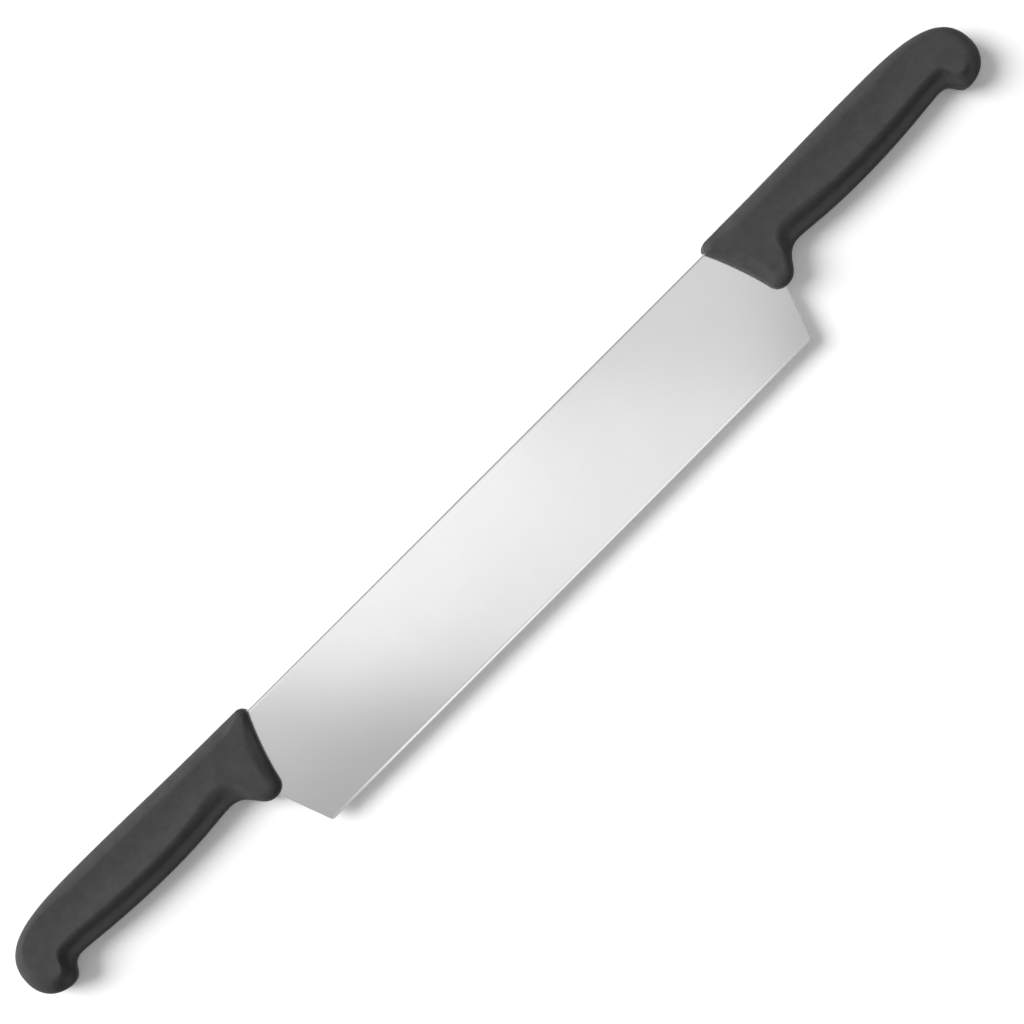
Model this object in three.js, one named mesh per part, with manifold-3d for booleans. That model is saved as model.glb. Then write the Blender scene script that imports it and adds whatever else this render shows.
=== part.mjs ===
// A double-handled cheese knife: one wide steel blade whose two tangs are moulded into two plastic handles.
// Millimetres, +Z up. X runs along the knife and +Y points from the cutting edge to the spine.
// The knife lies flat on the sides of its handles, with the origin below the middle of its bounding box.
import * as THREE from "three";
import { mergeVertices } from "three/addons/utils/BufferGeometryUtils.js";
import Module from "manifold-3d";

const wasm = await Module();
wasm.setup();

// Blade
const edgeLength = 305;
const bladeWidth = 61.4;
const edgeBelly = 0.9;
const stockThickness = 2.4;
const spineEase = 0.4;
const bevelHeight = 1.4;
const bevelThickness = 0.8;
const edgeThickness = 0.2;

// Tangs, with distances along the knife taken from the front of the handle
const spineRun = 8;
const tangTopDrop = 3;
const tangRootWidth = 15;
const tangTipWidth = 11;
const tangEndFromTip = 36;
const tangCornerRadius = 3;
const heelRoot = 23;
const heelRadius = 5;
const grindRunOut = 14;
const holeCount = 3;
const holeDiameter = 7;
const firstHole = 40;
const lastHoleFromEnd = 22;

// Handle outline, with heights from the spine and distances from the front or the tip of the handle
const frontSetback = 7;
const handleLength = 154;
const frontCornerRadius = 3.2;
const frontLeanHigh = THREE.MathUtils.degToRad(25.5);
const frontLeanLow = THREE.MathUtils.degToRad(12.7);
const backRise = 3.5;
const shoulderRise = 3.7;
const shoulderFromFront = 18;
const crestRise = 4.8;
const crestFromFront = 100;
const tipDrop = 16.7;
const hookDrop = 31.4;
const hookFromTip = 13.6;
const hookNeckDrop = 23.9;
const hookNeckFromTip = 26.6;
const bellyDrop = 27;
const bellyFromFront = 73;
const neckDrop = 25;
const neckFromFront = 36;
const guardDrop = 36.5;
const guardFromFront = 17;
const guardRadius = 6.3;

// Handle section
const handleThickness = 21;
const frontThickness = 18.6;
const frontTaperLength = 40;

// Coved border: the cove and the crease as shares of the border's reach and rise, how far down its rim is
// eased, and the share of the lines beside a corner that the corner's curve takes up
const coveReach = 0.6;
const coveRise = 0.3;
const creaseReach = 0.89;
const rimEase = 2.4;
const easeShare = 0.4;

// Border of the handle's flat sides: how far it reaches in from the outline, the half thickness left at the
// outline, and how far its section is coved rather than round
const lipPerCorner = 0.94;
const lobePerGuard = 0.86;
const lip = { reach: lipPerCorner * frontCornerRadius, rim: 6, coved: 0 };
const lobe = { reach: lobePerGuard * guardRadius, rim: 5, coved: 0 };
const neck = { reach: 11, rim: 4.4, coved: 0.85 };
const grip = { reach: 9.2, rim: 4.4, coved: 1 };
const hook = { reach: 5.4, rim: 4.6, coved: 0.6 };
const pommel = { reach: 6.5, rim: 4.2, coved: 0 };
const back = { reach: 6.5, rim: 4.2, coved: 0 };

// Room left between the steel and the plastic around it
const mouldGap = 0.3;

// How far a cutting shape runs past what it cuts
const overrun = 2;

// Facets
const outlineSteps = 10;
const cornerSteps = 5;
const easeSteps = 2;
const holeSides = 12;
const edgeSteps = 20;

// Places that follow from the sizes
const handleFront = edgeLength / 2 - frontSetback;
const handleHalf = handleThickness / 2;
const tangLength = handleLength - tangEndFromTip;
const holePitch = (tangLength - lastHoleFromEnd - firstHole) / (holeCount - 1);
const tangMiddle = -tangTopDrop - tangRootWidth / 2;

const vector = (x, y) => new THREE.Vector2(x, y);

// A closed skin over rings of equal count, each running anticlockwise seen from the last ring's side.
function loft(rings, capTriangles) {
  const count = rings[0].length;
  const positions = rings.flat().flatMap((point) => point.toArray());
  const triangles = [];
  for (let ring = 0; ring + 1 < rings.length; ring++) {
    for (let i = 0; i < count; i++) {
      const a = ring * count + i;
      const b = ring * count + ((i + 1) % count);
      triangles.push(a, b, b + count, a, b + count, a + count);
    }
  }
  const lastRing = (rings.length - 1) * count;
  for (const [a, b, c] of capTriangles(rings[0])) {
    triangles.push(a, c, b);
  }
  for (const [a, b, c] of capTriangles(rings.at(-1))) {
    triangles.push(lastRing + a, lastRing + b, lastRing + c);
  }
  const geometry = new THREE.BufferGeometry();
  geometry.setAttribute("position", new THREE.Float32BufferAttribute(positions, 3));
  geometry.setIndex(triangles);
  return geometry;
}

// The triangles of a convex cap.
function fanCap(ring) {
  return ring.slice(2).map((_, i) => [0, i + 1, i + 2]);
}

// The triangles of a handle's flat side: rungs over the tapering front, then whatever fits the level rest.
function sideCap(ring) {
  const count = ring.length;
  const along = ring.map((point) => point.x);
  let lower = along.indexOf(Math.min(...along));
  let upper = (lower + count - 1) % count;
  const triangles = [];
  while (Math.min(along[lower], along[upper]) < frontTaperLength) {
    const nextLower = (lower + 1) % count;
    const nextUpper = (upper + count - 1) % count;
    if (along[nextLower] < along[nextUpper]) {
      triangles.push([lower, nextLower, upper]);
      lower = nextLower;
    } else {
      triangles.push([lower, nextUpper, upper]);
      upper = nextUpper;
    }
  }
  const restCount = ((upper - lower + count) % count) + 1;
  const rest = Array.from({ length: restCount }, (_, i) => (lower + i) % count);
  const contour = rest.map((i) => vector(ring[i].x, ring[i].y));
  for (const triangle of THREE.ShapeUtils.triangulateShape(contour, [])) {
    triangles.push(triangle.map((i) => rest[i]));
  }
  return triangles;
}

function toSolid(geometry) {
  geometry.deleteAttribute("normal");
  geometry.deleteAttribute("uv");
  const merged = mergeVertices(geometry, 1e-4);
  const vertProperties = new Float32Array(merged.attributes.position.array);
  const triVerts = new Uint32Array(merged.index.array);
  return new wasm.Manifold(new wasm.Mesh({ numProp: 3, vertProperties, triVerts }));
}

function toGeometry(solid) {
  const { vertProperties, triVerts } = solid.getMesh();
  const geometry = new THREE.BufferGeometry();
  geometry.setAttribute("position", new THREE.BufferAttribute(vertProperties, 3));
  geometry.setIndex(new THREE.BufferAttribute(triVerts, 1));
  const faceted = geometry.toNonIndexed();
  faceted.computeVertexNormals();
  return faceted;
}

// The points of an arc that rounds the corner between two straight lines, as far as the lines have room.
function roundCorner(before, corner, after, radius, steps) {
  const backward = before.clone().sub(corner);
  const onward = after.clone().sub(corner);
  const halfTurn = (Math.PI - backward.angleTo(onward)) / 2;
  const room = Math.min(backward.length(), onward.length());
  const setback = Math.min(radius * Math.tan(halfTurn), room);
  const pull = setback * (1 - (4 / 3) * Math.tan(halfTurn / 2) / Math.tan(halfTurn));
  const on = (line, distance) => corner.clone().addScaledVector(line, distance / line.length());
  const ends = [on(backward, setback), on(onward, setback)];
  const arc = new THREE.CubicBezierCurve(ends[0], on(backward, pull), on(onward, pull), ends[1]);
  return arc.getPoints(steps);
}

// Moves a closed anticlockwise outline outwards by an equal distance all round.
function growOutline(points, distance) {
  const count = points.length;
  const outward = (from, to) => vector(to.y - from.y, from.x - to.x).normalize();
  return points.map((point, i) => {
    const before = outward(points[(i + count - 1) % count], point);
    const after = outward(point, points[(i + 1) % count]);
    const share = distance / (1 + before.dot(after));
    return point.clone().addScaledVector(before.add(after), share);
  });
}

// Blade

// The cutting edge's height at a place along it: a shallow curve, lowest in the middle.
function edgeHeight(x) {
  return edgeBelly * (x / (edgeLength / 2)) ** 2 - bladeWidth;
}

// One half of the blade's outline, from under the edge's corner round the tang to the spine.
function halfOutline() {
  const at = (fromFront, height) => vector(handleFront + fromFront, height);
  const tipTop = tangMiddle + tangTipWidth / 2;
  const tipBottom = tangMiddle - tangTipWidth / 2;
  const heelTop = at(heelRoot, tangMiddle - tangRootWidth / 2);
  const edgeCorner = vector(edgeLength / 2, edgeHeight(edgeLength / 2));
  const belowEdge = heelTop.clone().lerp(edgeCorner, 1 + overrun / heelTop.distanceTo(edgeCorner));
  const corners = [
    [belowEdge, heelTop, at(tangLength, tipBottom), heelRadius],
    [heelTop, at(tangLength, tipBottom), at(tangLength, tipTop), tangCornerRadius],
    [at(tangLength, tipBottom), at(tangLength, tipTop), at(spineRun, -tangTopDrop), tangCornerRadius],
    [at(tangLength, tipTop), at(spineRun, -tangTopDrop), at(spineRun, 0), tangTopDrop / 2],
    [at(spineRun, -tangTopDrop), at(spineRun, 0), vector(0, 0), tangTopDrop / 2],
  ];
  return [belowEdge, ...corners.flatMap((corner) => roundCorner(...corner, cornerSteps))];
}

// The stamped blank: blade and both tangs in one plate, with holes for the plastic to flow through.
function blankGeometry(grow) {
  const right = halfOutline();
  const left = right.map((point) => vector(-point.x, point.y)).reverse();
  const shape = new THREE.Shape(growOutline([...right, ...left], grow));
  for (let i = 0; i < holeCount; i++) {
    for (const side of [-1, 1]) {
      const x = side * (handleFront + firstHole + i * holePitch);
      const hole = new THREE.Path();
      hole.absarc(x, tangMiddle, holeDiameter / 2 - grow, 0, 2 * Math.PI, true);
      shape.holes.push(hole);
    }
  }
  const depth = stockThickness + 2 * grow;
  const blank = new THREE.ExtrudeGeometry(shape, { depth, bevelEnabled: false, curveSegments: holeSides });
  return blank.translate(0, 0, -depth / 2);
}

// What the grinding leaves: a taper from the spine to the edge bevel, which runs out inside the handles.
function grindGeometry(grow) {
  const section = (x, halves) => {
    const edge = edgeHeight(x);
    const heights = [spineEase + grow, -spineEase, edge + bevelHeight, edge - grow];
    const top = heights.map((y, i) => new THREE.Vector3(x, y, halves[i] + grow));
    const bottom = heights.map((y, i) => new THREE.Vector3(x, y, -halves[i] - grow)).reverse();
    return [...top, ...bottom];
  };
  const stockHalf = stockThickness / 2;
  const ground = [stockHalf - spineEase, stockHalf, bevelThickness / 2, edgeThickness / 2];
  const unground = ground.map(() => stockHalf + overrun);
  const runOutStart = handleFront + spineRun;
  const runOutEnd = runOutStart + grindRunOut;
  const tangEnd = handleFront + tangLength + overrun;
  const sections = [section(-tangEnd, unground), section(-runOutEnd, unground)];
  for (let i = 0; i <= edgeSteps; i++) {
    sections.push(section(runOutStart * ((2 * i) / edgeSteps - 1), ground));
  }
  sections.push(section(runOutEnd, unground), section(tangEnd, unground));
  return loft(sections, fanCap);
}

function bladeSolid(grow) {
  return toSolid(blankGeometry(grow)).intersect(toSolid(grindGeometry(grow)));
}

// Handle

// The outline's stations, anticlockwise from the top of the front face. It passes each in the heading given,
// and arrive and leave say how far the curve on either side keeps to that heading, as a share of its run.
function handleStations() {
  const frontHeading = (lean) => vector(Math.sin(lean), -Math.cos(lean));
  const onFront = (centre, radius, lean) =>
    centre.clone().add(vector(-radius * Math.cos(lean), -radius * Math.sin(lean)));
  const cornerCentre = vector(frontCornerRadius, backRise - frontCornerRadius);
  const guardCentre = vector(guardFromFront, guardRadius - guardDrop);
  const fromTip = (distance, drop) => vector(handleLength - distance, -drop);
  const rearward = vector(1, 0);
  const upward = vector(0, 1);
  const forward = vector(-1, 0);
  return [
    { at: onFront(cornerCentre, frontCornerRadius, frontLeanHigh), heading: frontHeading(frontLeanHigh),
      arrive: 0.76, leave: 0.33, ...lip },
    { at: onFront(guardCentre, guardRadius, frontLeanLow), heading: frontHeading(frontLeanLow),
      arrive: 0.36, leave: 0.48, ...lobe },
    { at: vector(guardFromFront, -guardDrop), heading: rearward, arrive: 0.48, leave: 0.48, ...lobe },
    { at: vector(neckFromFront, -neckDrop), heading: rearward, arrive: 0.62, leave: 0.17, ...neck },
    { at: vector(bellyFromFront, -bellyDrop), heading: rearward, arrive: 0.58, leave: 0.55, ...grip },
    { at: fromTip(hookNeckFromTip, hookNeckDrop), heading: rearward, arrive: 0.11, leave: 0.69, ...grip },
    { at: fromTip(hookFromTip, hookDrop), heading: rearward, arrive: 0.57, leave: 0.35, ...hook },
    { at: fromTip(0, tipDrop), heading: upward, arrive: 0.75, leave: 1, ...pommel },
    { at: vector(crestFromFront, crestRise), heading: forward, arrive: 0.49, leave: 0.3, ...back },
    { at: vector(shoulderFromFront, shoulderRise), heading: forward, arrive: 0.33, leave: 0.33, ...back },
    { at: vector(frontCornerRadius, backRise), heading: forward, arrive: 0.33, leave: 0.86, ...lip },
  ];
}

// Points along the outline, each with the direction into the handle and the border's sizes there.
function handleOutline() {
  const stations = handleStations();
  return stations.flatMap((start, i) => {
    const end = stations[(i + 1) % stations.length];
    const run = end.at.clone().sub(start.at);
    const leaving = start.at.clone().addScaledVector(start.heading, start.leave * run.dot(start.heading));
    const arriving = end.at.clone().addScaledVector(end.heading, -end.arrive * run.dot(end.heading));
    const curve = new THREE.CubicBezierCurve(start.at, leaving, arriving, end.at);
    return Array.from({ length: outlineSteps }, (_, step) => {
      const share = step / outlineSteps;
      const blend = THREE.MathUtils.smoothstep(share, 0, 1);
      const tangent = curve.getTangent(share);
      const mix = (name) => THREE.MathUtils.lerp(start[name], end[name], blend);
      return {
        at: curve.getPoint(share),
        inward: vector(-tangent.y, tangent.x),
        reach: mix("reach"),
        rim: mix("rim"),
        coved: mix("coved"),
      };
    });
  });
}

// How much narrower the handle is at a distance from its front than in the grip.
function narrowing(fromFront) {
  const taper = THREE.MathUtils.smoothstep(fromFront, 0, frontTaperLength);
  return THREE.MathUtils.lerp(frontThickness / handleThickness, 1, taper);
}

// The border's section at a point of the outline, from the middle plane to the flat side: how far in and up.
function borderSection(point) {
  const rise = handleHalf - point.rim;
  const rim = vector(0, point.rim);
  const cove = vector(coveReach * point.reach, point.rim + coveRise * rise);
  const crease = vector(creaseReach * point.reach, handleHalf);
  const side = vector(point.reach, handleHalf);
  const towards = (corner, next) => corner.clone().lerp(next, easeShare);
  const corners = [
    [vector(0, point.rim - rimEase), rim, towards(rim, cove)],
    [towards(cove, rim), cove, towards(cove, crease)],
    [towards(crease, cove), crease, side],
  ];
  const coves = corners.flatMap((corner) => new THREE.QuadraticBezierCurve(...corner).getPoints(easeSteps));
  const border = coves.map((coved, i) => {
    const turn = (Math.PI / 2) * (i / (coves.length - 1));
    const round = vector(point.reach * (1 - Math.cos(turn)), point.rim + rise * Math.sin(turn));
    return round.lerp(coved, point.coved);
  });
  return [vector(0, 0), ...border];
}

function handleGeometry() {
  const outline = handleOutline();
  const sections = outline.map(borderSection);
  const ring = (level, side) =>
    outline.map((point, i) => {
      const { x: inset, y: rise } = sections[i][level];
      const { x, y } = point.at.clone().addScaledVector(point.inward, inset);
      return new THREE.Vector3(x, y, side * rise * narrowing(x));
    });
  const levels = sections[0].map((_, level) => level);
  const below = levels.slice(1).map((level) => ring(level, -1)).reverse();
  const above = levels.map((level) => ring(level, 1));
  return loft([...below, ...above], sideCap);
}

// The moulding: the outer form, less the room that the tang, the heel of the blade and their gap take up.
function handleSolid() {
  const pocket = bladeSolid(mouldGap).translate([-handleFront, 0, 0]);
  return toSolid(handleGeometry()).subtract(pocket);
}

// Assembly
const steel = new THREE.MeshStandardMaterial({ color: 0xd3d5d6, metalness: 1, roughness: 0.28 });
const plastic = new THREE.MeshStandardMaterial({ color: 0x2d2e30, metalness: 0, roughness: 0.62 });

const blade = new THREE.Mesh(toGeometry(bladeSolid(0)), steel);
blade.name = "blade";

// Both handles are the same moulding. The left one is turned half round, its guard still on the edge's side.
const moulding = toGeometry(handleSolid());
const handleRight = new THREE.Mesh(moulding, plastic);
handleRight.name = "handle_right";
handleRight.position.x = handleFront;
const handleLeft = new THREE.Mesh(moulding, plastic);
handleLeft.name = "handle_left";
handleLeft.position.x = -handleFront;
handleLeft.rotation.y = Math.PI;

const knife = new THREE.Group();
knife.add(blade, handleLeft, handleRight);
knife.position.set(0, (bladeWidth - crestRise) / 2, handleHalf);

export default knife;
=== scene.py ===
"""The looks of a double-handled cheese knife: a satin steel blade and two moulded plastic handles.

Sizes of the knife are in millimetres and become metres where a mesh is made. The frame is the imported
part's: X along the knife, +Y from the cutting edge to the spine, +Z up.
"""

import math
from typing import NamedTuple

import bpy
import numpy as np
from mathutils import Matrix, Vector


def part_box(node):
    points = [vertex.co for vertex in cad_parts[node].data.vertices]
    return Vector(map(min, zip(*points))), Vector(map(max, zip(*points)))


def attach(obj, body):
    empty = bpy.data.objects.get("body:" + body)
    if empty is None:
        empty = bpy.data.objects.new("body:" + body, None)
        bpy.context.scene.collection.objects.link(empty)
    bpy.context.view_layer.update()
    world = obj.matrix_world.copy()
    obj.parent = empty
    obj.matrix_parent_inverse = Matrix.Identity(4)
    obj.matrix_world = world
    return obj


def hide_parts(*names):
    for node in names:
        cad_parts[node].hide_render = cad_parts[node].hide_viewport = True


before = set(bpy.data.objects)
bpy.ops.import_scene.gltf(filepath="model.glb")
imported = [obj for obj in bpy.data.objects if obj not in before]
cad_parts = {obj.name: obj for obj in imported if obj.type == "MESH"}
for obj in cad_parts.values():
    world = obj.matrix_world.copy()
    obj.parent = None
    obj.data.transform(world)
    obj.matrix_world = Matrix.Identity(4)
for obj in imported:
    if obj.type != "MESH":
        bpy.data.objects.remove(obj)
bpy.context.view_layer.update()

MM = 0.001

# Places taken from the frame
SPINE_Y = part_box("blade")[1].y / MM
MIDDLE_Z = (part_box("handle_right")[0].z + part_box("handle_right")[1].z) / 2 / MM
HANDLE_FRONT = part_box("handle_right")[0].x / MM

# Blade
EDGE_LENGTH = 305
BLADE_WIDTH = 61.9
EDGE_BELLY = 0.25
STOCK = 2.4
SPINE_RISE = 0.3
SPINE_ROUND = 1.15
BEVEL_HEIGHT = 1.4
BEVEL_THICKNESS = 0.8
EDGE_THICKNESS = 0.2
SHOULDER_EASE = 0.05
END_EASE = 0.25
EDGE_CORNER = 1.2

# Tangs, with distances along the knife taken from the front of the handle
SPINE_RUN = 8
TANG_START = 12
TANG_TOP = -3
TANG_ROOT_WIDTH = 15
TANG_TIP_WIDTH = 11
TANG_LENGTH = 118
HEEL_ROOT = 23
HOLE_DIAMETER = 7
HOLE_COUNT = 3
FIRST_HOLE = 40
LAST_HOLE = 96

# Handle outline, with heights from the spine and distances from the front or the tip of the handle
HANDLE_LENGTH = 154
FRONT_CORNER_RADIUS = 3.2
FRONT_LEAN_HIGH = math.radians(25.5)
FRONT_LEAN_LOW = math.radians(12.7)
BACK_RISE = 3.5
SHOULDER_RISE = 3.7
SHOULDER_FROM_FRONT = 18
CREST_RISE = 4.8
CREST_FROM_FRONT = 100
TIP_DROP = 16.7
HOOK_DROP = 31.4
HOOK_FROM_TIP = 13.6
HOOK_NECK_DROP = 23.9
HOOK_NECK_FROM_TIP = 26.6
BELLY_DROP = 27
BELLY_FROM_FRONT = 73
NECK_DROP = 25
NECK_FROM_FRONT = 36
GUARD_DROP = 36.5
GUARD_FROM_FRONT = 17
GUARD_RADIUS = 6.3

# Handle section
HANDLE_THICKNESS = 21
FRONT_THICKNESS = 18.6
FRONT_TAPER_LENGTH = 40

# Hollow of the flat sides: its slope at their rims, where it starts and ends along the handle, and the
# length over which it fades in and out
HOLLOW_TILT = 0.16
HOLLOW_FROM = 14
HOLLOW_TO = 142
HOLLOW_FADE = 36

# Ridge of the parting line round a handle
PARTING_RIDGE = 0.07
PARTING_WIDTH = 0.25

# Section of a border: where the crease lies on the run from the cove to the flat side, how far the corners
# are eased, and the stretch over which the border turns at a bend
CREASE_RUN = 0.58
RIM_DROP = 2.4
RIM_EASE = 0.4
COVE_EASE = 0.25
CREASE_EASE = 0.75
TURN_STRETCH = 14


class Border(NamedTuple):
    """The border of a handle's flat sides: how far it reaches in from the outline, how far in its cove
    lies, the half thicknesses at the cove and at the outline, and how far it is coved, not round."""
    reach: float
    cove_inset: float
    cove_height: float
    rim_height: float
    coved: float


LIP = Border(reach=4, cove_inset=1.7, cove_height=9.3, rim_height=8, coved=0.8)
FRONT = Border(reach=6.5, cove_inset=3, cove_height=9.65, rim_height=8.6, coved=0.8)
LOBE = Border(reach=6, cove_inset=3, cove_height=7, rim_height=5, coved=0)
GUARD_INSIDE = Border(reach=6, cove_inset=3, cove_height=6, rim_height=2.4, coved=0)
NECK = Border(reach=11, cove_inset=4.9, cove_height=6.7, rim_height=5.2, coved=1)
GRIP = Border(reach=9.2, cove_inset=5.3, cove_height=6.2, rim_height=4.4, coved=1)
HOOK = Border(reach=7.5, cove_inset=4.8, cove_height=6.4, rim_height=4.4, coved=0.7)
TIP_UNDERSIDE = Border(reach=9, cove_inset=4.4, cove_height=6.4, rim_height=3.6, coved=0)
POMMEL = Border(reach=6.5, cove_inset=3, cove_height=6, rim_height=3.2, coved=0)
TIP_TOP = Border(reach=3, cove_inset=1.6, cove_height=6.4, rim_height=4.4, coved=0)
BACK = Border(reach=5.8, cove_inset=3, cove_height=6, rim_height=4.4, coved=0)

# Mesh steps, and the distance from a corner to the row of points that holds it crisp
OUTLINE_STEPS = 36
SIDE_STEPS = 6
CORNER_STEPS = 5
BLADE_COLUMNS = 60
FACE_ROWS = 16
BEVEL_ROWS = 3
SPINE_STEPS = 6
EASE_STEPS = 4
HOLE_SIDES = 32
SUPPORT = 0.3
SHARP_ANGLE = math.radians(40)


class Finish(NamedTuple):
    """A material: how fine its grain is along each axis, in waves per metre, the noises of its grain and
    of its clouding, the two colours that it clouds between, the least and the greatest roughness and the
    bump that its grain makes, in metres, and what is the same all over."""
    fineness: tuple
    grain: dict
    cloud: dict
    colours: tuple
    roughness: tuple
    bump: dict
    overall: dict


# Near-black moulded plastic with a fine matte grain
PLASTIC = Finish(
    fineness=(1300, 1300, 1300),
    grain={"Scale": 1, "Detail": 3, "Roughness": 0.6},
    cloud={"Scale": 160, "Detail": 5, "Roughness": 0.8},
    colours=((0.034, 0.0341, 0.0344, 1), (0.072, 0.0721, 0.0725, 1)),
    roughness=(0.5, 0.6),
    bump={"Strength": 0.35, "Distance": 0.00006},
    overall={"Specular IOR Level": 0.08},
)

# Stainless steel with a fine satin grind across the blade
STEEL = Finish(
    fineness=(5000, 30, 30),
    grain={"Scale": 1, "Detail": 4, "Roughness": 0.65},
    cloud={"Scale": 25, "Detail": 7, "Roughness": 0.7},
    colours=((0.705, 0.707, 0.707, 1), (0.775, 0.777, 0.777, 1)),
    roughness=(0.11, 0.15),
    bump={"Strength": 0.05, "Distance": 0.00001},
    overall={"Metallic": 1},
)

# Sockets of a node that mixes two colours
MIX_SHARE = 0
MIX_FIRST = 6
MIX_SECOND = 7
MIX_RESULT = 2

# Floor, in metres: the share of light that it shows and the share that it throws back, and its own glow
FLOOR_SIZE = 40
FLOOR_ALBEDO = 0.88
FLOOR_BOUNCE = 0.5
FLOOR_GLOW = 0.15
FLOOR_ROUGHNESS = 0.9
WHITE = (1, 1, 1, 1)

# Directions of the camera's picture, in which the knife lies along a diagonal
IMAGE_RIGHT = (math.sqrt(0.5), -math.sqrt(0.5), 0)
IMAGE_DOWN = (-math.sqrt(0.5), -math.sqrt(0.5), 0)
ALONG_KNIFE = (1, 0, 0)

# Camera, in metres, overhead and leaning slightly
CAMERA_LENS = 100
CAMERA_PLACE = (-0.0418, -0.0331, 1.2891)
CAMERA_TURN = (math.radians(2.658), math.radians(-0.09), math.radians(-45.074))

# Soft sun, and the direction that it shines from: the left end and the spine side
KEY_DIRECTION = (-0.491, 0.491, 0.719)
KEY_ANGLE = math.radians(34)
KEY_STRENGTH = 3.15


class SoftBox(NamedTuple):
    """A lamp's place and sides, in metres, and the brightness of its face."""
    place: tuple
    size: tuple
    glow: float


# Soft boxes overhead, which shade the blade's face, and a low one that lights the sides of the handles
STRIP = SoftBox(place=(0.009, 0.018, 1.45), size=(1.6, 0.305), glow=0.2)
PANEL = SoftBox(place=(-0.133, 0.584, 1.5), size=(1.6, 0.87), glow=0.345)
EDGE_SIDE = SoftBox(place=(0.055, -0.76, 1.5), size=(0.61, 0.4), glow=0.74)
SPINE_SIDE = SoftBox(place=(-0.13, 0.19, 1.55), size=(0.5, 0.42), glow=0.155)
LOW = SoftBox(place=(-2.15, 2.15, 0.5), size=(3, 0.6), glow=14)

# Shades of the sky as it lights the knife and as it is seen, in pairs of height and shade, with the height
# going from nought at the horizon to one overhead
SKY_LIGHT = ((0, 0.05), (0.75, 0.05), (0.92, 0.53))
SKY_DIM = ((0, 0.92), (0.15, 0.2), (0.75, 0.3), (0.92, 0.53))
SKY_BRIGHT = ((0, 0.92), (0.15, 0.55), (0.75, 0.6), (0.92, 0.53))

# Patches of the sky that is seen: their noise, and its values where dim ends and where bright begins
SKY_PATCHES = {"Scale": 2.5, "Detail": 0}
SKY_PATCH_EDGES = (0.35, 0.65)


# Curves and meshes

def smoothstep(share):
    """A share from nought to one that starts and ends gently."""
    return share * share * (3 - 2 * share)


def bezier(ends, shares):
    """Points and headings of a cubic curve, given its four points, at shares of its run."""
    a, b, c, d = (np.asarray(point, float) for point in ends)
    t = shares[:, None]
    points = (1 - t) ** 3 * a + 3 * (1 - t) ** 2 * t * b + 3 * (1 - t) * t**2 * c + t**3 * d
    slopes = (1 - t) ** 2 * (b - a) + 2 * (1 - t) * t * (c - b) + t**2 * (d - c)
    return points, slopes / np.linalg.norm(slopes, axis=1, keepdims=True)


def ease_corner(before, corner, after):
    """Points of a curve that eases a corner between a point before it and a point after it."""
    ends = (before, (before + 2 * corner) / 3, (after + 2 * corner) / 3, after)
    return bezier(ends, np.linspace(0, 1, CORNER_STEPS + 1))[0]


def make_object(name, points, faces):
    """A mesh object from points in millimetres, with heights from the spine and from the middle plane."""
    placed = np.asarray(points, float) + (0, SPINE_Y, MIDDLE_Z)
    mesh = bpy.data.meshes.new(name)
    mesh.from_pydata((placed * MM).tolist(), [], faces)
    mesh.validate()
    piece = bpy.data.objects.new(name, mesh)
    bpy.context.scene.collection.objects.link(piece)
    return piece


def combine(target, other, operation):
    """Joins another solid to target, or cuts it out of target."""
    modifier = target.modifiers.new(operation.lower(), "BOOLEAN")
    modifier.operation = operation
    modifier.solver = "MANIFOLD"
    modifier.object = other
    made = bpy.data.meshes.new_from_object(target.evaluated_get(bpy.context.evaluated_depsgraph_get()))
    target.modifiers.clear()
    target.data = made


def loft_faces(ring_count, ring_size):
    """Faces between rings of points that all run the same way round."""
    faces = []
    for ring in range(ring_count - 1):
        for i in range(ring_size):
            a = ring * ring_size + i
            b = ring * ring_size + (i + 1) % ring_size
            faces.append((a, b, b + ring_size, a + ring_size))
    return faces


# Blade

def end_reach(height):
    """How far the blade's slanted end lies from the middle, at a height below the spine."""
    heel_height = TANG_TOP - TANG_ROOT_WIDTH
    edge_height = EDGE_BELLY - BLADE_WIDTH
    heights = (edge_height, heel_height, 0)
    reaches = (EDGE_LENGTH / 2, HANDLE_FRONT + HEEL_ROOT, HANDLE_FRONT + SPINE_RUN)
    above_edge = np.clip((height - edge_height) / EDGE_CORNER, 0, 1)
    rounding = EDGE_CORNER * (1 - np.sqrt(1 - (1 - above_edge) ** 2))
    return np.interp(height, heights, reaches) - rounding


def blade_section(edge):
    """Half of the blade's section, from the spine to the edge: heights and half thicknesses."""
    turns = np.linspace(0, math.pi / 2, SPINE_STEPS + 1)
    spine_heights = SPINE_RISE + SPINE_ROUND * (np.cos(turns) - 1)
    spine_halves = STOCK / 2 + SPINE_ROUND * (np.sin(turns) - 1)
    spine = np.column_stack([spine_heights, spine_halves])
    shoulder = np.array([edge + BEVEL_HEIGHT, BEVEL_THICKNESS / 2])
    tip = np.array([edge + EDGE_THICKNESS / 2, EDGE_THICKNESS / 2])
    down_face = shoulder - spine[-1]
    down_bevel = tip - shoulder
    down_face /= np.linalg.norm(down_face)
    down_bevel /= np.linalg.norm(down_bevel)
    above = shoulder - SHOULDER_EASE * down_face
    below = shoulder + SHOULDER_EASE * down_bevel
    face = np.linspace(spine[-1] + SUPPORT * down_face, above - SUPPORT * down_face, FACE_ROWS)
    bevel = np.linspace(below + SUPPORT * down_bevel, tip, BEVEL_ROWS)
    apex = np.array([[edge, EDGE_THICKNESS / 4]])
    return np.vstack([spine, face, above, below, bevel, apex])


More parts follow.
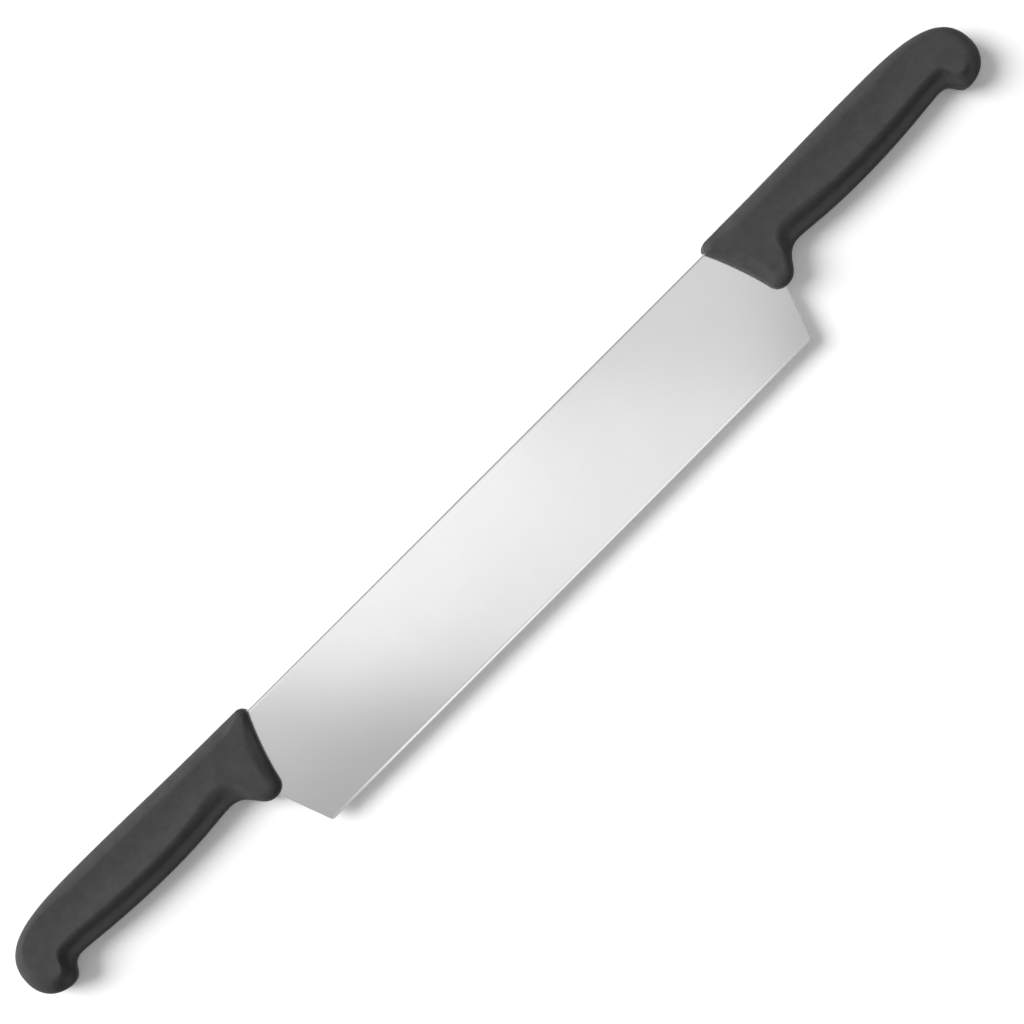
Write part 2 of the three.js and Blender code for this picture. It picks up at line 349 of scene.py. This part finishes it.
def blade_body():
    """The blade between its slanted ends, whose rims are eased. A ring of points is the section at a share
    of the way from the middle to an end, with a shift along the knife and an inset all round."""
    turns = np.linspace(0, math.pi / 2, EASE_STEPS + 1)
    eases = [(END_EASE * (1 - math.sin(turn)), END_EASE * (1 - math.cos(turn))) for turn in turns]
    eases.insert(0, (END_EASE + SUPPORT, 0))
    columns = [(share, 0, 0) for share in np.linspace(-1, 1, BLADE_COLUMNS + 1)[1:-1]]
    right = [(1, -setback, inset) for setback, inset in eases]
    left = [(-1, setback, inset) for setback, inset in reversed(eases)]
    rings = []
    for share, shift, inset in left + columns + right:
        edge = EDGE_BELLY * share**2 - BLADE_WIDTH
        heights, halves = blade_section(edge).T
        x = share * end_reach(heights) + shift
        y = np.clip(heights, edge + min(inset, EDGE_THICKNESS / 2), SPINE_RISE - inset)
        z = np.maximum(halves - inset, halves / 2)
        upper = np.column_stack([x, y, z])
        rings.append(np.vstack([upper, upper[::-1] * (1, 1, -1)]))
    size = len(rings[0])
    last = (len(rings) - 1) * size
    caps = [tuple(range(size - 1, -1, -1)), tuple(range(last, last + size))]
    return make_object("blade_satin", np.vstack(rings), loft_faces(len(rings), size) + caps)


def prism(name, outline, half):
    """A plate over an outline that runs anticlockwise."""
    count = len(outline)
    low = np.column_stack([outline, np.full(count, -half)])
    high = np.column_stack([outline, np.full(count, half)])
    caps = [tuple(range(count - 1, -1, -1)), tuple(range(count, 2 * count))]
    return make_object(name, np.vstack([low, high]), loft_faces(2, count) + caps)


def make_blade():
    """The whole steel plate: the blade and its two tangs with their holes."""
    blade = blade_body()
    middle = TANG_TOP - TANG_ROOT_WIDTH / 2
    root_x = HANDLE_FRONT + TANG_START
    tip_x = HANDLE_FRONT + TANG_LENGTH
    tang = np.array([
        (root_x, middle - TANG_ROOT_WIDTH / 2),
        (HANDLE_FRONT + HEEL_ROOT, middle - TANG_ROOT_WIDTH / 2),
        (tip_x, middle - TANG_TIP_WIDTH / 2),
        (tip_x, middle + TANG_TIP_WIDTH / 2),
        (root_x, middle + TANG_ROOT_WIDTH / 2),
    ])
    turns = np.arange(HOLE_SIDES) * 2 * math.pi / HOLE_SIDES
    circle = HOLE_DIAMETER / 2 * np.column_stack([np.cos(turns), np.sin(turns)])
    tools = []
    for side in (1, -1):
        outline = tang * (side, 1)
        tools.append((prism("tang", outline[::side], STOCK / 2), "UNION"))
        for place in np.linspace(FIRST_HOLE, LAST_HOLE, HOLE_COUNT):
            hole = circle + (side * (HANDLE_FRONT + place), middle)
            tools.append((prism("hole", hole, STOCK), "DIFFERENCE"))
    for tool, operation in tools:
        combine(blade, tool, operation)
        bpy.data.objects.remove(tool)
    return blade


# Handles

class Station(NamedTuple):
    """A place that the outline goes through, its heading there, how far it keeps to that heading before
    and after, as shares of the runs on either side, and the borders there and midway to the next one."""
    place: tuple
    heading: np.ndarray
    before: float
    after: float
    borders: list


def handle_stations():
    """The outline's stations, anticlockwise from the top of the front."""
    def front(lean):
        """The heading down the front where it leans by an angle."""
        return np.array([math.sin(lean), -math.cos(lean)])

    def on_front(centre, radius, lean):
        """The place where a round corner meets the front."""
        x, y = centre
        return x - radius * math.cos(lean), y - radius * math.sin(lean)

    corner = (FRONT_CORNER_RADIUS, BACK_RISE - FRONT_CORNER_RADIUS)
    lobe = (GUARD_FROM_FRONT, GUARD_RADIUS - GUARD_DROP)
    front_top = on_front(corner, FRONT_CORNER_RADIUS, FRONT_LEAN_HIGH)
    front_foot = on_front(lobe, GUARD_RADIUS, FRONT_LEAN_LOW)
    guard = (GUARD_FROM_FRONT, -GUARD_DROP)
    neck = (NECK_FROM_FRONT, -NECK_DROP)
    belly = (BELLY_FROM_FRONT, -BELLY_DROP)
    hook_neck = (HANDLE_LENGTH - HOOK_NECK_FROM_TIP, -HOOK_NECK_DROP)
    hook = (HANDLE_LENGTH - HOOK_FROM_TIP, -HOOK_DROP)
    tip = (HANDLE_LENGTH, -TIP_DROP)
    crest = (CREST_FROM_FRONT, CREST_RISE)
    shoulder = (SHOULDER_FROM_FRONT, SHOULDER_RISE)
    back_end = (FRONT_CORNER_RADIUS, BACK_RISE)
    rearward, upward, forward = np.array([(1, 0), (0, 1), (-1, 0)], float)
    return [
        Station(front_top, front(FRONT_LEAN_HIGH), before=0.76, after=0.33, borders=[LIP, FRONT]),
        Station(front_foot, front(FRONT_LEAN_LOW), before=0.36, after=0.48, borders=[LOBE]),
        Station(guard, rearward, before=0.48, after=0.48, borders=[LOBE, GUARD_INSIDE]),
        Station(neck, rearward, before=0.62, after=0.17, borders=[NECK]),
        Station(belly, rearward, before=0.58, after=0.55, borders=[GRIP]),
        Station(hook_neck, rearward, before=0.11, after=0.69, borders=[GRIP]),
        Station(hook, rearward, before=0.57, after=0.35, borders=[HOOK, TIP_UNDERSIDE]),
        Station(tip, upward, before=0.75, after=1, borders=[POMMEL, TIP_TOP]),
        Station(crest, forward, before=0.49, after=0.3, borders=[BACK]),
        Station(shoulder, forward, before=0.33, after=0.33, borders=[BACK]),
        Station(back_end, forward, before=0.33, after=0.86, borders=[LIP]),
    ]


def border_run(knots, shares):
    """The border's sizes at shares of a run, going smoothly from each knot to the next."""
    knots = np.array(knots, float)
    spans = len(knots) - 1
    index = np.minimum(shares * spans, spans - 1).astype(int)
    blend = smoothstep(shares * spans - index)[:, None]
    return knots[index] + blend * (knots[index + 1] - knots[index])


def turn_gently(places, directions):
    """Directions at points of a closed line, each averaged over a stretch of the line to either side."""
    steps = np.linalg.norm(np.roll(places, -1, axis=0) - places, axis=1)
    along = np.concatenate([[0], np.cumsum(steps)])
    sums = np.vstack([np.zeros(2), np.cumsum(directions * steps[:, None], axis=0)])

    def sum_to(distance):
        """The sum of the directions from the line's start to a distance along it."""
        rounds, rest = np.divmod(distance, along[-1])
        parts = [np.interp(rest, along, sums[:, axis]) + rounds * sums[-1, axis] for axis in (0, 1)]
        return np.column_stack(parts)

    means = sum_to(along[:-1] + TURN_STRETCH) - sum_to(along[:-1] - TURN_STRETCH)
    return means / np.linalg.norm(means, axis=1, keepdims=True)


def handle_outline():
    """Points along the outline, the directions into the handle there, which turn gently at tight bends, and
    the border's sizes there."""
    stations = handle_stations()
    shares = np.arange(OUTLINE_STEPS) / OUTLINE_STEPS
    places, inwards, borders = [], [], []
    for start, end in zip(stations, stations[1:] + stations[:1]):
        start_at = np.array(start.place)
        end_at = np.array(end.place)
        run = end_at - start_at
        leaving = start_at + start.heading * start.after * (run @ start.heading)
        arriving = end_at - end.heading * end.before * (run @ end.heading)
        points, headings = bezier((start_at, leaving, arriving, end_at), shares)
        places.append(points)
        inwards.append(np.column_stack([-headings[:, 1], headings[:, 0]]))
        borders.append(border_run(start.borders + end.borders[:1], shares))
    places = np.vstack(places)
    return places, turn_gently(places, np.vstack(inwards)), np.vstack(borders)


def border_section(border):
    """A border's insets and heights from the middle plane, with the parting ridge, to the flat side."""
    half = HANDLE_THICKNESS / 2
    rim, cove, crease, side = np.array([
        (0, border.rim_height),
        (border.cove_inset, border.cove_height),
        (border.cove_inset + CREASE_RUN * (border.reach - border.cove_inset), half),
        (border.reach, half),
    ])
    shelf = cove - rim
    step = crease - cove
    coves = np.vstack([
        ease_corner(rim - (0, RIM_DROP), rim, rim + RIM_EASE * shelf),
        ease_corner(cove - COVE_EASE * shelf, cove, cove + COVE_EASE * step),
        ease_corner(crease - CREASE_EASE * step, crease, side),
    ])
    turns = np.linspace(0, math.pi / 2, len(coves))
    rounds = np.column_stack([
        border.reach * (1 - np.cos(turns)),
        border.rim_height + (half - border.rim_height) * np.sin(turns),
    ])
    ridge = [(-PARTING_RIDGE, 0), (-PARTING_RIDGE / 2, PARTING_WIDTH / 2), (0, PARTING_WIDTH)]
    return np.vstack([ridge, rounds + border.coved * (coves - rounds), side + (SUPPORT, 0)])


def side_rungs(along):
    """Rungs across a handle's flat side, from its front to its tip: pairs of a lower and an upper point of
    the ring round it, which runs anticlockwise."""
    count = len(along)
    ring = np.roll(np.arange(count), -int(np.argmin(along)))
    along = along[ring]
    end = int(np.argmax(along))
    lower = 1
    upper = count - 1
    rungs = [(0, 0), (lower, upper)]
    while (lower, upper) != (end - 1, end + 1):
        if upper == end + 1 or (lower < end - 1 and along[lower + 1] < along[upper - 1]):
            lower += 1
        else:
            upper -= 1
        rungs.append((lower, upper))
    rungs.append((end, end))
    return [(ring[low], ring[high]) for low, high in rungs]


def hollow_side(rim, rungs, face, first, free):
    """A handle's flat side inside a ring of points, slightly hollow between its rims: new points and all
    faces. The ring's points are numbered from first and the new ones from free. Face is 1 for the upper
    side and -1 for the lower one."""
    shares = np.arange(1, SIDE_STEPS) / SIDE_STEPS
    points, rows = [], []
    for lower, upper in rungs:
        inner = []
        if lower != upper:
            across = rim[upper] - rim[lower]
            along = abs(rim[lower][0]) - HANDLE_FRONT
            from_ends = np.clip(np.array([along - HOLLOW_FROM, HOLLOW_TO - along]) / HOLLOW_FADE, 0, 1)
            tilt = HOLLOW_TILT * np.prod(smoothstep(from_ends))
            sunk = tilt * np.linalg.norm(across) * shares * (1 - shares)
            inner = list(range(free + len(points), free + len(points) + len(shares)))
            points.extend(rim[lower] + shares[:, None] * across - np.outer(face * sunk, (0, 0, 1)))
        rows.append([first + lower, *(inner or [first + lower] * len(shares)), first + upper])
    faces = []
    for before, after in zip(rows, rows[1:]):
        for k in range(SIDE_STEPS):
            corners = tuple(dict.fromkeys((before[k], after[k], after[k + 1], before[k + 1])))
            if len(corners) > 2:
                faces.append(corners[::face])
    return points, faces


def make_handle(name, side, blade):
    """One moulding, with the room that the blade takes in it. Side is 1 for the right end and -1 for the
    left one. Its rings run from the lower flat side over the middle plane to the upper flat side."""
    places, inwards, borders = handle_outline()
    sections = np.array([border_section(Border(*border)) for border in borders])
    rings = []
    levels = list(range(sections.shape[1]))
    for level, face in [(level, -1) for level in levels[:0:-1]] + [(level, 1) for level in levels]:
        inset, rise = sections[:, level].T
        along, height = (places + inset[:, None] * inwards).T
        taper = smoothstep(np.clip(along / FRONT_TAPER_LENGTH, 0, 1))
        narrowing = (FRONT_THICKNESS + taper * (HANDLE_THICKNESS - FRONT_THICKNESS)) / HANDLE_THICKNESS
        rings.append(np.column_stack([side * (HANDLE_FRONT + along), height, face * rise * narrowing]))
    size = len(places)
    points = np.vstack(rings)
    faces = loft_faces(len(rings), size)
    rungs = side_rungs(along)
    for ring, face in ((0, -1), (len(rings) - 1, 1)):
        inner, cap = hollow_side(rings[ring], rungs, face, ring * size, len(points))
        points = np.vstack([points, inner])
        faces += cap
    handle = make_object(name, points, [face[::side] for face in faces])
    combine(handle, blade, "DIFFERENCE")
    return handle


def finish_piece(piece, node, material):
    """Shades a piece, gives it its material and puts it in the place of its CAD node."""
    piece.data.shade_smooth()
    piece.data.set_sharp_from_angle(angle=SHARP_ANGLE)
    piece.data.materials.clear()
    piece.data.materials.append(material)
    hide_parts(node)
    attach(piece, "root")


# Materials

def feed(tree, node, inputs):
    """Gives each of a node's inputs a constant, or links another node's output to it."""
    for name, source in inputs.items():
        if isinstance(source, bpy.types.NodeSocket):
            tree.links.new(source, node.inputs[name])
        else:
            node.inputs[name].default_value = source


def add_node(tree, kind, inputs, **settings):
    """A new node with its settings and inputs."""
    node = tree.nodes.new(kind)
    for name, value in settings.items():
        setattr(node, name, value)
    feed(tree, node, inputs)
    return node


def add_noise(tree, place, sizes):
    """A noise by place, from nought to one."""
    return add_node(tree, "ShaderNodeTexNoise", {"Vector": place, **sizes}).outputs["Fac"]


def add_range(tree, share, low, high):
    """A value that goes from low to high by a share."""
    inputs = {"Value": share, "To Min": low, "To Max": high}
    return add_node(tree, "ShaderNodeMapRange", inputs).outputs["Result"]


def add_mix(tree, share, first, second):
    """A colour that goes from a first to a second one by a share."""
    inputs = {MIX_SHARE: share, MIX_FIRST: first, MIX_SECOND: second}
    return add_node(tree, "ShaderNodeMix", inputs, data_type="RGBA").outputs[MIX_RESULT]


def add_seen(tree):
    """One where a surface is seen, directly or in something glossy or clear, and nought elsewhere."""
    path = add_node(tree, "ShaderNodeLightPath", {})
    seen = path.outputs["Is Camera Ray"]
    for name in ("Is Glossy Ray", "Is Transmission Ray"):
        either = add_node(tree, "ShaderNodeMath", {0: seen, 1: path.outputs[name]}, operation="MAXIMUM")
        seen = either.outputs["Value"]
    return seen


def make_material(name, finish):
    """A material with a grain that makes its bump and roughness, and slight clouding of its colour."""
    material = bpy.data.materials.new(name)
    material.use_nodes = True
    tree = material.node_tree
    where = add_node(tree, "ShaderNodeTexCoord", {}).outputs["Object"]
    stretch = add_node(tree, "ShaderNodeMapping", {"Vector": where, "Scale": finish.fineness})
    grain = add_noise(tree, stretch.outputs["Vector"], finish.grain)
    cloud = add_noise(tree, where, finish.cloud)
    bump = add_node(tree, "ShaderNodeBump", {"Height": grain, **finish.bump})
    feed(tree, tree.nodes["Principled BSDF"], {
        "Base Color": add_mix(tree, cloud, *finish.colours),
        "Roughness": add_range(tree, grain, *finish.roughness),
        "Normal": bump.outputs["Normal"],
        **finish.overall,
    })
    return material


# Floor, lights and camera

def make_floor():
    """A pale floor that looks white and keeps the knife's shadow."""
    material = bpy.data.materials.new("floor")
    material.use_nodes = True
    tree = material.node_tree
    seen = add_seen(tree)
    feed(tree, tree.nodes["Principled BSDF"], {
        "Base Color": add_range(tree, seen, FLOOR_BOUNCE, FLOOR_ALBEDO),
        "Roughness": FLOOR_ROUGHNESS,
        "Specular IOR Level": 0,
        "Emission Color": WHITE,
        "Emission Strength": add_range(tree, seen, 0, FLOOR_GLOW),
    })
    half = FLOOR_SIZE / 2
    corners = [(-half, -half, 0), (half, -half, 0), (half, half, 0), (-half, half, 0)]
    mesh = bpy.data.meshes.new("floor")
    mesh.from_pydata(corners, [], [(0, 1, 2, 3)])
    mesh.materials.append(material)
    floor = bpy.data.objects.new("floor", mesh)
    bpy.context.scene.collection.objects.link(floor)


def aim(light, place, target, across):
    """Puts a light somewhere, facing a target, with its first side along a direction."""
    back = (Vector(place) - Vector(target)).normalized()
    across = Vector(across)
    across = (across - across.dot(back) * back).normalized()
    turn = Matrix((across, back.cross(across), back)).transposed()
    light.matrix_world = Matrix.Translation(place) @ turn.to_4x4()


def add_light(name, kind, strength):
    """A new light of a kind and a strength."""
    lamp = bpy.data.lights.new(name, kind)
    lamp.energy = strength
    light = bpy.data.objects.new(name, lamp)
    bpy.context.scene.collection.objects.link(light)
    return light


def add_softbox(name, box, target, across):
    """A soft box that faces a target, with its first side along a direction."""
    width, length = box.size
    light = add_light(name, "AREA", box.glow * math.pi * width * length)
    light.data.shape = "RECTANGLE"
    light.data.size = width
    light.data.size_y = length
    light.visible_camera = False
    aim(light, box.place, target, across)
    return light


def make_lights():
    """A soft sun, soft boxes overhead that the blade reflects, and a low soft box that it doesn't."""
    centre = (0, 0, 0)
    key = add_light("key", "SUN", KEY_STRENGTH)
    key.data.angle = KEY_ANGLE
    aim(key, KEY_DIRECTION, centre, IMAGE_DOWN)
    for name, box, across in (
        ("strip", STRIP, IMAGE_RIGHT),
        ("panel", PANEL, IMAGE_RIGHT),
        ("edge_side", EDGE_SIDE, ALONG_KNIFE),
        ("spine_side", SPINE_SIDE, ALONG_KNIFE),
    ):
        x, y, _ = box.place
        add_softbox(name, box, (x, y, 0), across)
    low = add_softbox("low", LOW, centre, IMAGE_DOWN)
    low.visible_glossy = False


def add_ramp(tree, height, stops):
    """A grey shade by height, given as pairs of height and shade."""
    ramp = add_node(tree, "ShaderNodeValToRGB", {"Fac": height})
    elements = ramp.color_ramp.elements
    while len(elements) < len(stops):
        elements.new(1)
    for element, (place, shade) in zip(elements, stops):
        element.position = place
        element.color = (shade, shade, shade, 1)
    return ramp.outputs["Color"]


def make_world():
    """A studio lit from overhead. It looks pale at the horizon, with dim and bright patches above that."""
    world = bpy.data.worlds.new("studio")
    bpy.context.scene.world = world
    world.use_nodes = True
    tree = world.node_tree
    direction = add_node(tree, "ShaderNodeTexCoord", {}).outputs["Generated"]
    height = add_node(tree, "ShaderNodeSeparateXYZ", {"Vector": direction}).outputs["Z"]
    patches = add_noise(tree, direction, SKY_PATCHES)
    dim_end, bright_start = SKY_PATCH_EDGES
    contrast_inputs = {"Value": patches, "From Min": dim_end, "From Max": bright_start}
    contrast = add_node(tree, "ShaderNodeMapRange", contrast_inputs, interpolation_type="SMOOTHSTEP")
    light, dim, bright = (add_ramp(tree, height, stops) for stops in (SKY_LIGHT, SKY_DIM, SKY_BRIGHT))
    shown = add_mix(tree, contrast.outputs["Result"], dim, bright)
    feed(tree, tree.nodes["Background"], {"Color": add_mix(tree, add_seen(tree), light, shown)})


def make_camera():
    """The camera at the photograph's viewing angle."""
    lens = bpy.data.cameras.new("camera")
    lens.lens = CAMERA_LENS
    camera = bpy.data.objects.new("camera", lens)
    camera.location = CAMERA_PLACE
    camera.rotation_euler = CAMERA_TURN
    bpy.context.scene.collection.objects.link(camera)
    bpy.context.scene.camera = camera


make_camera()
make_floor()
make_lights()
make_world()
bpy.context.scene.view_settings.view_transform = "Standard"

plastic = make_material("grip_plastic", PLASTIC)
steel = make_material("steel", STEEL)
blade = make_blade()
handle_right = make_handle("handle_right_moulding", 1, blade)
handle_left = make_handle("handle_left_moulding", -1, blade)
finish_piece(blade, "blade", steel)
finish_piece(handle_right, "handle_right", plastic)
finish_piece(handle_left, "handle_left", plastic)
